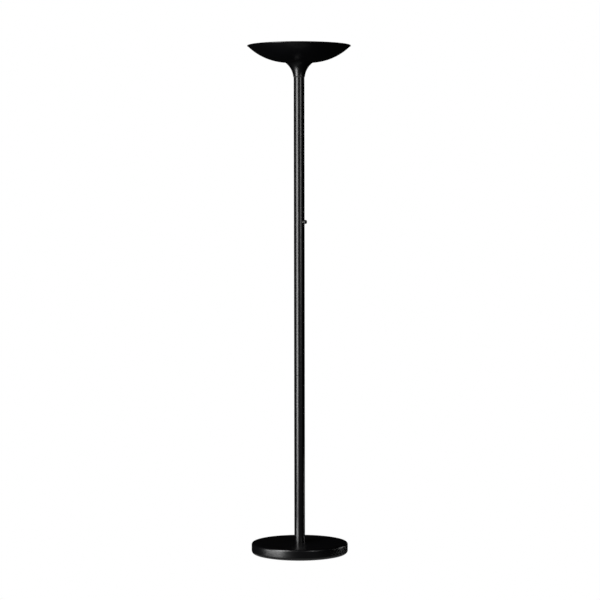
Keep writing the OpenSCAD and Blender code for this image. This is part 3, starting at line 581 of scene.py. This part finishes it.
class TORCHIERE_OT_base_cover(bpy.types.Operator):
    """Pressed steel cover with rounded edges, a crimped lip below, and holes for pole and inlet"""

    bl_idname = "torchiere.base_cover"
    bl_label = "Base Cover"

    def execute(self, context):
        s = context.scene.torchiere_base
        top, foot = high("base_cover").z, low("base_cover").z
        lip = s.radius - s.lower_edge - s.lip
        inner_top, inner_foot, inner = top - s.wall, foot + s.wall, s.radius - s.wall
        shell = turned([
            (lip, foot, s.burr),
            (s.radius, foot, s.lower_edge),
            (s.radius, top, s.upper_edge),
            (s.pole_hole, top, s.burr),
            (s.pole_hole, inner_top, 0),
            (inner, inner_top, s.upper_edge - s.wall),
            (inner, inner_foot, s.lower_edge - s.wall),
            (lip, inner_foot, s.burr),
        ], 256)
        cover = object_from(shell, "base_cover_pressing")
        inlet = (low("cord_grommet").z + high("cord_grommet").z) / 2
        cut(cover, [drill((-s.radius - 5 * MM, 0, inlet), (-s.radius + 5 * MM, 0, inlet), s.inlet_hole)])
        finish(cover, "lamp", ["base_cover"], [finish_for("black_enamel")])
        return {"FINISHED"}


class TORCHIERE_OT_floor_pad(bpy.types.Operator):
    """Foam ring that keeps the base off the floor"""

    bl_idname = "torchiere.floor_pad"
    bl_label = "Floor Pad"

    def execute(self, context):
        base = context.scene.torchiere_base
        edge = base.pad_edge
        outside, top = high("base_pad").x, high("base_pad").z
        inside = outside - base.pad_width
        pad = object_from(turned([
            (inside, 0, edge),
            (outside, 0, edge),
            (outside, top, edge),
            (inside, top, edge),
        ], 160), "floor_pad_ring")
        finish(pad, "lamp", ["base_pad"], [finish_for("pad_foam")])
        return {"FINISHED"}


class TORCHIERE_OT_cord_grommet(bpy.types.Operator):
    """Rubber grommet with a rounded mouth in the cord inlet"""

    bl_idname = "torchiere.cord_grommet"
    bl_label = "Cord Grommet"

    def execute(self, context):
        s = context.scene.torchiere_base
        mouth, tail = low("cord_grommet"), high("cord_grommet")
        flange = (tail.z - mouth.z) / 2
        outer, inner = -s.radius, -s.radius + s.wall
        profile = turned([
            (s.inlet_radius, mouth.x, 0.9 * MM),
            (flange, mouth.x, 1.2 * MM),
            (flange, outer + s.grommet_lip, 0.3 * MM),
            (s.inlet_hole, outer + s.grommet_lip, 0),
            (s.inlet_hole, inner, 0),
            (flange, inner, 0.3 * MM),
            (flange, inner + s.grommet_tail, 1.2 * MM),
            (s.inlet_radius, tail.x, 0.5 * MM),
        ], 64)
        place = Matrix.Translation((0, 0, (mouth.z + tail.z) / 2)) @ Matrix.Rotation(pi / 2, 4, "Y")
        bmesh.ops.transform(profile, matrix=place, verts=profile.verts)
        grommet = object_from(profile, "cord_inlet_grommet")
        finish(grommet, "lamp", ["cord_grommet"], [finish_for("black_rubber")])
        return {"FINISHED"}


class TORCHIERE_OT_pole_tubes(bpy.types.Operator):
    """Lower and upper pole tubes with deburred ends and their side holes"""

    bl_idname = "torchiere.pole_tubes"
    bl_label = "Pole Tubes"

    def execute(self, context):
        s = context.scene.torchiere_pole
        lead_height = high("base_cover").z - s.lead_hole_drop
        knob_height = (low("dimmer_knob").z + high("dimmer_knob").z) / 2
        holes = {"lower_pole": (lead_height, s.lead_hole), "upper_pole": (knob_height, s.bushing_hole)}
        for node, (height, hole) in holes.items():
            foot, top = low(node).z, high(node).z
            tube = object_from(turned([
                (s.radius, foot, s.end_edge),
                (s.radius, top, s.end_edge),
                (s.radius - s.wall, top, s.end_edge),
                (s.radius - s.wall, foot, s.end_edge),
            ]), node + "_tube")
            cut(tube, [drill((0, 0, height), (2 * s.radius, 0, height), hole)])
            finish(tube, "lamp", [node], [finish_for("black_enamel")])
        return {"FINISHED"}


class TORCHIERE_OT_dimmer_knob(bpy.types.Operator):
    """Moulded knob with a rounded face, fine grip flutes and a dimple that shows the setting"""

    bl_idname = "torchiere.dimmer_knob"
    bl_label = "Dimmer Knob"

    def execute(self, context):
        s = context.scene.torchiere_knob
        back, face = low("dimmer_knob").x, high("dimmer_knob").x
        height = (low("dimmer_knob").z + high("dimmer_knob").z) / 2
        cavity, shaft_end = back + s.cavity, face - s.face_wall
        bm = turned([
            (s.radius - s.wall, back, 0),
            (s.radius, back, 0.4 * MM),
            (s.radius, face, s.face_edge),
            (0, face, 0),
            (0, shaft_end, 0),
            (s.shaft_radius, shaft_end, 0),
            (s.shaft_radius, cavity, 0),
            (s.radius - s.wall, cavity, 0),
        ], s.flutes * 4)
        # The side is a ring of upright panels, four to a flute, and two of each four are sunk
        hollows = []
        for panel in bm.faces:
            centre = panel.calc_center_median()
            turn = int((atan2(centre.y, centre.x) % tau) / tau * s.flutes * 4)
            if abs(panel.normal.z) < 0.01 and centre.xy.length > s.radius * 0.99 and turn % 4 < 2:
                hollows.append(panel)
        bmesh.ops.inset_region(bm, faces=hollows, thickness=0.1 * MM, depth=-s.flute_depth,
                               use_even_offset=True)
        place = Matrix.Translation((0, 0, height)) @ Matrix.Rotation(pi / 2, 4, "Y")
        bmesh.ops.transform(bm, matrix=place, verts=bm.verts)
        knob = object_from(bm, "dimmer_knob_moulding")
        ball = s.mark_radius ** 2 / (2 * s.mark_depth) + s.mark_depth / 2
        dimple = bmesh.new()
        centre = Matrix.Translation((face + ball - s.mark_depth, 0, height + s.radius * 0.35))
        bmesh.ops.create_uvsphere(dimple, u_segments=48, v_segments=32, radius=ball, matrix=centre)
        cut(knob, [dimple])
        finish(knob, "knob", ["dimmer_knob"], [finish_for("knob_plastic")])
        return {"FINISHED"}


class TORCHIERE_OT_neck(bpy.types.Operator):
    """Flared neck: a sleeve on the pole that opens in one hollow curve to the bowl"""

    bl_idname = "torchiere.neck"
    bl_label = "Neck"

    def execute(self, context):
        s = context.scene.torchiere_head
        foot, top = low("neck").z, high("neck").z
        sleeve = context.scene.torchiere_pole.radius + s.sleeve_gap
        outer, flare = sleeve + s.sleeve_wall, high("neck").x
        start, end = Vector((outer, foot)), Vector((flare, top))
        along = (end - start) / 2
        across = Vector((along.y, -along.x)).normalized()
        centre = (start + end) / 2 + across * sqrt(s.neck_curve ** 2 - along.length_squared)
        from_angle = atan2(start.y - centre.y, start.x - centre.x) % tau
        to_angle = atan2(end.y - centre.y, end.x - centre.x) % tau
        inner_curve = s.neck_curve + s.neck_wall
        web_top = foot + s.socket + s.web
        web_foot = foot + s.socket
        under_flange = top - s.flange
        low_angle = pi - asin_clamped((web_top - centre.y) / inner_curve)
        high_angle = pi - asin_clamped((under_flange - centre.y) / inner_curve)
        bm = turned([
            (sleeve, foot, 0.2 * MM),
            (outer, foot, s.neck_edge),
            *arc(centre, s.neck_curve, from_angle - 0.02, to_angle, 40),
            (s.flange_hole, top, 0),
            (s.flange_hole, under_flange, 0),
            *arc(centre, inner_curve, high_angle, low_angle, 16),
            (s.nipple_hole, web_top, 0),
            (s.nipple_hole, web_foot, 0),
            (sleeve, web_foot, 0),
        ])
        neck = object_from(bm, "neck_flare")
        cut(neck, [drill((x, y, under_flange - 2 * MM), (x, y, top + 2 * MM), s.screw_hole)
                   for x, y in thirds(s.screw_circle)])
        finish(neck, "lamp", ["neck"], [finish_for("black_enamel")])
        return {"FINISHED"}


class TORCHIERE_OT_bowl(bpy.types.Operator):
    """Spun bowl: a flat bottom, one round curve up to the rim, and a bead rolled round the rim"""

    bl_idname = "torchiere.bowl"
    bl_label = "Bowl"

    def execute(self, context):
        s = context.scene.torchiere_head
        foot, top = low("bowl").z, high("bowl").z
        radius = min(-low("bowl").x, -low("bowl").y, high("bowl").x, high("bowl").y)
        bead = Vector((radius - s.bead, top - s.bead))
        width, height = bead.x - s.bowl_flat, bead.y - foot
        curve = (width ** 2 + height ** 2 - s.bowl_wall ** 2 / 4) / (2 * height - s.bowl_wall)
        centre = Vector((s.bowl_flat, foot + curve))
        reach = (bead - centre).length
        bead_angle = atan2(bead.y - centre.y, bead.x - centre.x)
        inner = curve - s.bowl_wall
        # Where each face of the sheet runs into the bead
        outer_end = bead_angle - acos((curve ** 2 + reach ** 2 - s.bead ** 2) / (2 * curve * reach))
        inner_end = bead_angle - acos((inner ** 2 + reach ** 2 - s.bead ** 2) / (2 * inner * reach))
        outer_arc = arc(centre, curve, -pi / 2, outer_end, 48)
        inner_arc = arc(centre, inner, inner_end, -pi / 2, 48)
        meets = [atan2(p[1] - bead.y, p[0] - bead.x) for p in (outer_arc[-1], inner_arc[0])]
        rim = arc(bead, s.bead, meets[0], meets[1] % tau + (tau if meets[1] % tau < meets[0] else 0), 20)
        bm = turned([
            (s.wire_hole, foot, 0.2 * MM),
            *outer_arc,
            *rim[1:-1],
            *inner_arc,
            (s.wire_hole, foot + s.bowl_wall, 0.2 * MM),
        ], 256)
        bowl = object_from(bm, "bowl_spinning")
        cut(bowl, [drill((x, y, foot - 2 * MM), (x, y, foot + 4 * MM), s.screw_hole)
                   for x, y in thirds(s.screw_circle)])
        finish(bowl, "lamp", ["bowl"],
               [finish_for("bowl_enamel"), white_stove_enamel(context.scene.torchiere_finish)])
        # The inside of the sheet takes the second finish, white. The bead stays black
        for face in bowl.data.polygons:
            out, up = face.center.xy.length, face.center.z
            from_centre = (Vector((max(out, s.bowl_flat), up)) - centre).length
            from_bead = (Vector((out, up)) - bead).length
            inside = from_centre < curve - s.bowl_wall / 2 and from_bead > s.bead * 0.99
            face.material_index = int(inside)
        return {"FINISHED"}


class TORCHIERE_OT_diffuser(bpy.types.Operator):
    """Opal diffuser: a short skirt and a shallow dome over the light engine"""

    bl_idname = "torchiere.diffuser"
    bl_label = "Diffuser"

    def execute(self, context):
        s = context.scene.torchiere_head
        foot, top, radius = low("diffuser").z, high("diffuser").z, high("diffuser").x
        shoulder = top - s.dome
        curve = (radius ** 2 + s.dome ** 2) / (2 * s.dome)
        centre = (0, top - curve)
        outer_angle = atan2(shoulder - centre[1], radius)
        inner, inner_curve = radius - s.diffuser_wall, curve - s.diffuser_wall
        inner_angle = acos(inner / inner_curve)
        outer_dome = arc(centre, curve, outer_angle, pi / 2, 32)
        inner_dome = arc(centre, inner_curve, pi / 2, inner_angle, 32)
        diffuser = object_from(turned([
            (inner, foot, 0.5 * MM),
            (radius, foot, 0.5 * MM),
            (radius, shoulder, s.diffuser_edge),
            *outer_dome[2:],
            *inner_dome,
        ]), "diffuser_moulding")
        finish(diffuser, "lamp", ["diffuser"], [finish_for("opal_acrylic")])
        return {"FINISHED"}


# ---- Stage ---------------------------------------------------------------------------


def towards(azimuth, distance, height):
    """A point round the lamp. Azimuth 0 is on the -Y side, and 90 degrees on the +X side."""
    return Vector((sin(azimuth) * distance, -cos(azimuth) * distance, height))


def soft_light(name, place, target, size, power, spread=pi):
    """A rectangular soft light, width by height, that faces a point and stays out of the picture."""
    light = bpy.data.lights.new(name, "AREA")
    light.shape = "RECTANGLE"
    light.size, light.size_y = size
    light.energy = power
    light.spread = spread
    lamp = bpy.data.objects.new(name, light)
    lamp.location = place
    lamp.rotation_euler = (Vector(target) - Vector(place)).to_track_quat("-Z", "Y").to_euler()
    lamp.visible_camera = False
    bpy.context.scene.collection.objects.link(lamp)


class TORCHIERE_OT_stage(bpy.types.Operator):
    """Pale floor, soft lights and the camera"""

    bl_idname = "torchiere.stage"
    bl_label = "Stage"

    def execute(self, context):
        s = context.scene.torchiere_stage
        self.make_floor()
        self.make_air(context.scene, s.fill)
        soft_light("key_light", towards(s.azimuth - radians(46), 1.5, 1.05), (0, 0, 1.0),
                   (0.65, 2.1), s.key_power)
        soft_light("front_light", towards(s.azimuth + radians(33), 3.4, 1.7), (0, 0, 1.6),
                   (0.5, 1.6), s.front_power)
        soft_light("side_light", towards(s.azimuth + radians(118), 1.2, 0.1), (0, 0, 0.05),
                   (0.9, 0.18), s.side_power, radians(30))
        soft_light("low_light", towards(s.azimuth - radians(52), 0.4, 0.018), (0, 0, 0.018),
                   (0.28, 0.034), s.low_power)
        soft_light("floor_light", (0, 0, 0.5 * MM), (0, 0, 1), (0.42, 0.42), s.floor_power,
                   radians(150))
        soft_light("bowl_light", (0, 0, 2.15), (0, 0, 1.8), (0.16, 0.16), s.bowl_power, radians(30))
        camera = bpy.data.objects.new("camera", bpy.data.cameras.new("camera"))
        camera.data.lens = s.lens
        camera.data.sensor_width = 36
        camera.data.clip_end = 100
        camera.matrix_world = (
            Matrix.Translation(towards(s.azimuth, s.distance, s.height))
            @ Matrix.Rotation(s.azimuth + s.yaw, 4, "Z")
            @ Matrix.Rotation(pi / 2 - s.pitch, 4, "X")
            @ Matrix.Rotation(s.roll, 4, "Z"))
        context.scene.collection.objects.link(camera)
        context.scene.camera = camera
        context.scene.view_settings.view_transform = "Standard"
        return {"FINISHED"}

    @staticmethod
    def make_floor():
        """A wide white floor that the camera sees but that adds no light to the lamp."""
        bm = bmesh.new()
        bmesh.ops.create_grid(bm, x_segments=1, y_segments=1, size=40)
        floor = object_from(bm, "floor")
        material, tree, shader = new_material("backlit_white_floor", Roughness=0.9, IOR=1.0)
        shader.inputs["Base Color"].default_value = opaque(linear("#000000"))
        shader.inputs["Emission Color"].default_value = opaque(linear("#FFFFFF"))
        shader.inputs["Emission Strength"].default_value = 1.0
        floor.data.materials.append(material)
        floor.visible_glossy = False
        floor.visible_diffuse = False

    @staticmethod
    def make_air(scene, fill):
        """White all round for the camera, and a dim fill for the lamp."""
        scene.world = bpy.data.worlds.new("studio")
        scene.world.use_nodes = True
        tree = scene.world.node_tree
        tree.nodes.clear()
        white = add(tree, "ShaderNodeBackground", inputs={"Color": opaque((1, 1, 1)), "Strength": 1.0})
        dim = add(tree, "ShaderNodeBackground", inputs={"Color": opaque((1, 1, 1)), "Strength": fill})
        seen = add(tree, "ShaderNodeLightPath").outputs["Is Camera Ray"]
        both = add(tree, "ShaderNodeMixShader", inputs={
            0: seen, 1: dim.outputs["Background"], 2: white.outputs["Background"]})
        add(tree, "ShaderNodeOutputWorld", inputs={"Surface": both.outputs["Shader"]})


# ---- Add-on --------------------------------------------------------------------------

OPERATORS = (
    TORCHIERE_OT_finishes,
    TORCHIERE_OT_base_cover,
    TORCHIERE_OT_floor_pad,
    TORCHIERE_OT_cord_grommet,
    TORCHIERE_OT_pole_tubes,
    TORCHIERE_OT_dimmer_knob,
    TORCHIERE_OT_neck,
    TORCHIERE_OT_bowl,
    TORCHIERE_OT_diffuser,
    TORCHIERE_OT_stage,
)


class TORCHIERE_PT_panel(bpy.types.Panel):
    """Lists the steps that build the lamp, and their settings"""

    bl_idname = "TORCHIERE_PT_panel"
    bl_label = "Torchiere Floor Lamp"
    bl_space_type = "VIEW_3D"
    bl_region_type = "UI"
    bl_category = "Torchiere"

    def draw(self, context):
        for operator in OPERATORS:
            self.layout.operator(operator.bl_idname)
        for name, group in SETTINGS.items():
            box = self.layout.box()
            for prop in group.__annotations__:
                box.prop(getattr(context.scene, name), prop)


def register():
    """Registers the settings, the operators and the panel."""
    for name, group in SETTINGS.items():
        bpy.utils.register_class(group)
        setattr(bpy.types.Scene, name, PointerProperty(type=group))
    for cls in (*OPERATORS, TORCHIERE_PT_panel):
        bpy.utils.register_class(cls)


def unregister():
    """Takes everything back out, in the opposite order."""
    for cls in (TORCHIERE_PT_panel, *reversed(OPERATORS)):
        bpy.utils.unregister_class(cls)
    for name, group in reversed(SETTINGS.items()):
        delattr(bpy.types.Scene, name)
        bpy.utils.unregister_class(group)


def main():
    """Builds every piece in order."""
    register()
    for operator in OPERATORS:
        group, name = operator.bl_idname.split(".")
        getattr(getattr(bpy.ops, group), name)()


if __name__ == "__main__":
    main()
